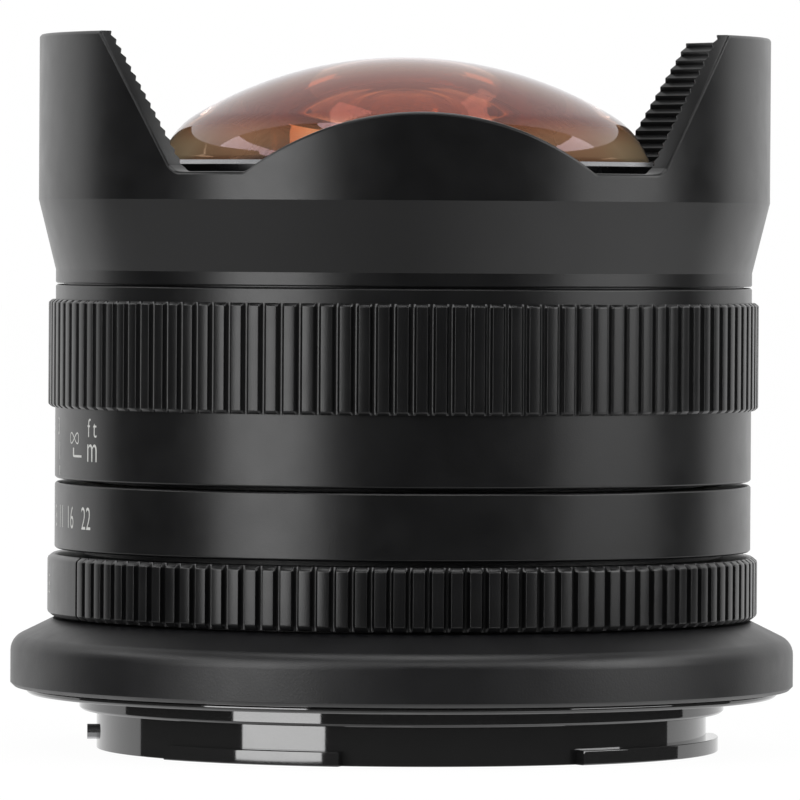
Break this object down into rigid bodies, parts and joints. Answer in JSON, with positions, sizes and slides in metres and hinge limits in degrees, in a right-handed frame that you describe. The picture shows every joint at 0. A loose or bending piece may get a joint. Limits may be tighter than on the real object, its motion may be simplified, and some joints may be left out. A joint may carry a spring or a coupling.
{
  "type": "fisheye lens",
  "caption": "Manual-focus fisheye lens with a domed front glass, petal hood, knurled focus ring, aperture ring, blade iris and bayonet mount.",
  "frame": {"origin": "on the optical axis, in the plane where the mount seats on a camera", "axes": "+Z along the optical axis towards the front glass, -X towards the index line, tall petals on -X and +X"},
  "size_m": [0.0676, 0.0676, 0.0614],
  "materials": {
    "body_anodising": "satin black anodising",
    "skirt_anodising": "bead-blasted matte black anodising",
    "ring_anodising": "black anodising with a polished edge",
    "inner_anodising": "dull black anodising",
    "matte_black": "flat black paint",
    "gloss_black_plating": "gloss black chrome over brass",
    "brass": "turned and greased",
    "steel": "bright steel",
    "black_steel": "blackened steel",
    "blade_black": "matte black spring steel",
    "front_glass": "polished, multi-coated",
    "inner_glass": "polished, coated"
  },
  "bodies": {
    "root": {"bayonet_mount": "gloss_black_plating", "mount_screws": "black_steel", "bayonet_stop_pin": "steel", "mount_shim": "brass", "rear_baffle": "matte_black", "baffle_screws": "black_steel", "mount_skirt": "skirt_anodising", "fixed_barrel": "inner_anodising", "scale_band": "body_anodising", "band_screws": "black_steel", "guide_keys": "brass", "focus_stop_pin": "steel"},
    "focus_group": {"focus_ring": "body_anodising", "helicoid_nut": "brass", "focus_ring_screws": "black_steel", "focus_retainer_halves": "brass", "retainer_screws": "steel"},
    "aperture_group": {"aperture_ring": "body_anodising", "aperture_finger": "steel", "finger_screws": "black_steel"},
    "optical_unit": {"petal_hood": "body_anodising", "hood_screws": "steel", "front_cell": "matte_black", "front_retaining_ring": "ring_anodising", "helicoid_barrel": "inner_anodising", "lens_tube": "inner_anodising", "front_spacer": "matte_black", "doublet_ring": "matte_black", "rear_spacer_1": "matte_black", "rear_spacer_2": "matte_black", "rear_spacer_3": "matte_black", "rear_cell": "inner_anodising", "rear_retaining_ring": "inner_anodising", "core_screws": "steel", "iris_housing": "inner_anodising", "element_01": "front_glass", "element_02": "inner_glass", "element_03": "inner_glass", "element_04": "inner_glass", "element_05": "inner_glass", "element_06": "inner_glass", "element_07": "inner_glass", "element_08": "inner_glass", "element_09": "inner_glass", "element_10": "inner_glass", "element_11": "inner_glass"},
    "iris_cam": {"iris_cam_ring": "steel", "iris_lever": "steel"},
    "blade_01": {"iris_blade_01": "blade_black"},
    "blade_02": {"iris_blade_02": "blade_black"},
    "blade_03": {"iris_blade_03": "blade_black"},
    "blade_04": {"iris_blade_04": "blade_black"},
    "blade_05": {"iris_blade_05": "blade_black"},
    "blade_06": {"iris_blade_06": "blade_black"},
    "blade_07": {"iris_blade_07": "blade_black"},
    "blade_08": {"iris_blade_08": "blade_black"},
    "blade_09": {"iris_blade_09": "blade_black"},
    "blade_10": {"iris_blade_10": "blade_black"},
    "blade_11": {"iris_blade_11": "blade_black"},
    "blade_12": {"iris_blade_12": "blade_black"}
  },
  "joints": [
    {"name": "focus_turn", "type": "hinge", "parent": "root", "child": "focus_group", "pos_m": [0, 0, 0.027], "axis": [0, 0, 1], "range_deg": [-16.5, 83.5]},
    {"name": "barrel_slide", "type": "slide", "parent": "root", "child": "optical_unit", "axis": [0, 0, 1], "range_m": [-0.000099, 0.000501]},
    {"name": "aperture_turn", "type": "hinge", "parent": "root", "child": "aperture_group", "pos_m": [0, 0, 0.0094], "axis": [0, 0, 1], "range_deg": [-5, 43]},
    {"name": "iris_cam_turn", "type": "hinge", "parent": "optical_unit", "child": "iris_cam", "pos_m": [0, 0, 0.021], "axis": [0, 0, 1], "range_deg": [-5, 43]},
    {"name": "blade_01_turn", "type": "hinge", "parent": "optical_unit", "child": "blade_01", "pos_m": [0.013, 0, 0.023], "axis": [0, 0, 1], "range_deg": [-2.67, 22.94]},
    {"name": "blade_02_turn", "type": "hinge", "parent": "optical_unit", "child": "blade_02", "pos_m": [0.01126, 0.0065, 0.023], "axis": [0, 0, 1], "range_deg": [-2.67, 22.94]},
    {"name": "blade_03_turn", "type": "hinge", "parent": "optical_unit", "child": "blade_03", "pos_m": [0.0065, 0.01126, 0.023], "axis": [0, 0, 1], "range_deg": [-2.67, 22.94]},
    {"name": "blade_04_turn", "type": "hinge", "parent": "optical_unit", "child": "blade_04", "pos_m": [0, 0.013, 0.023], "axis": [0, 0, 1], "range_deg": [-2.67, 22.94]},
    {"name": "blade_05_turn", "type": "hinge", "parent": "optical_unit", "child": "blade_05", "pos_m": [-0.0065, 0.01126, 0.023], "axis": [0, 0, 1], "range_deg": [-2.67, 22.94]},
    {"name": "blade_06_turn", "type": "hinge", "parent": "optical_unit", "child": "blade_06", "pos_m": [-0.01126, 0.0065, 0.023], "axis": [0, 0, 1], "range_deg": [-2.67, 22.94]},
    {"name": "blade_07_turn", "type": "hinge", "parent": "optical_unit", "child": "blade_07", "pos_m": [-0.013, 0, 0.023], "axis": [0, 0, 1], "range_deg": [-2.67, 22.94]},
    {"name": "blade_08_turn", "type": "hinge", "parent": "optical_unit", "child": "blade_08", "pos_m": [-0.01126, -0.0065, 0.023], "axis": [0, 0, 1], "range_deg": [-2.67, 22.94]},
    {"name": "blade_09_turn", "type": "hinge", "parent": "optical_unit", "child": "blade_09", "pos_m": [-0.0065, -0.01126, 0.023], "axis": [0, 0, 1], "range_deg": [-2.67, 22.94]},
    {"name": "blade_10_turn", "type": "hinge", "parent": "optical_unit", "child": "blade_10", "pos_m": [0, -0.013, 0.023], "axis": [0, 0, 1], "range_deg": [-2.67, 22.94]},
    {"name": "blade_11_turn", "type": "hinge", "parent": "optical_unit", "child": "blade_11", "pos_m": [0.0065, -0.01126, 0.023], "axis": [0, 0, 1], "range_deg": [-2.67, 22.94]},
    {"name": "blade_12_turn", "type": "hinge", "parent": "optical_unit", "child": "blade_12", "pos_m": [0.01126, -0.0065, 0.023], "axis": [0, 0, 1], "range_deg": [-2.67, 22.94]}
  ],
  "couplings": [
    {"joint": "focus_turn", "follows": "barrel_slide", "rad_per_m": 2908.9},
    {"joint": "iris_cam_turn", "follows": "aperture_turn", "ratio": 1},
    {"joint": "blade_01_turn", "follows": "aperture_turn", "ratio": 0.53333},
    {"joint": "blade_02_turn", "follows": "aperture_turn", "ratio": 0.53333},
    {"joint": "blade_03_turn", "follows": "aperture_turn", "ratio": 0.53333},
    {"joint": "blade_04_turn", "follows": "aperture_turn", "ratio": 0.53333},
    {"joint": "blade_05_turn", "follows": "aperture_turn", "ratio": 0.53333},
    {"joint": "blade_06_turn", "follows": "aperture_turn", "ratio": 0.53333},
    {"joint": "blade_07_turn", "follows": "aperture_turn", "ratio": 0.53333},
    {"joint": "blade_08_turn", "follows": "aperture_turn", "ratio": 0.53333},
    {"joint": "blade_09_turn", "follows": "aperture_turn", "ratio": 0.53333},
    {"joint": "blade_10_turn", "follows": "aperture_turn", "ratio": 0.53333},
    {"joint": "blade_11_turn", "follows": "aperture_turn", "ratio": 0.53333},
    {"joint": "blade_12_turn", "follows": "aperture_turn", "ratio": 0.53333}
  ]
}
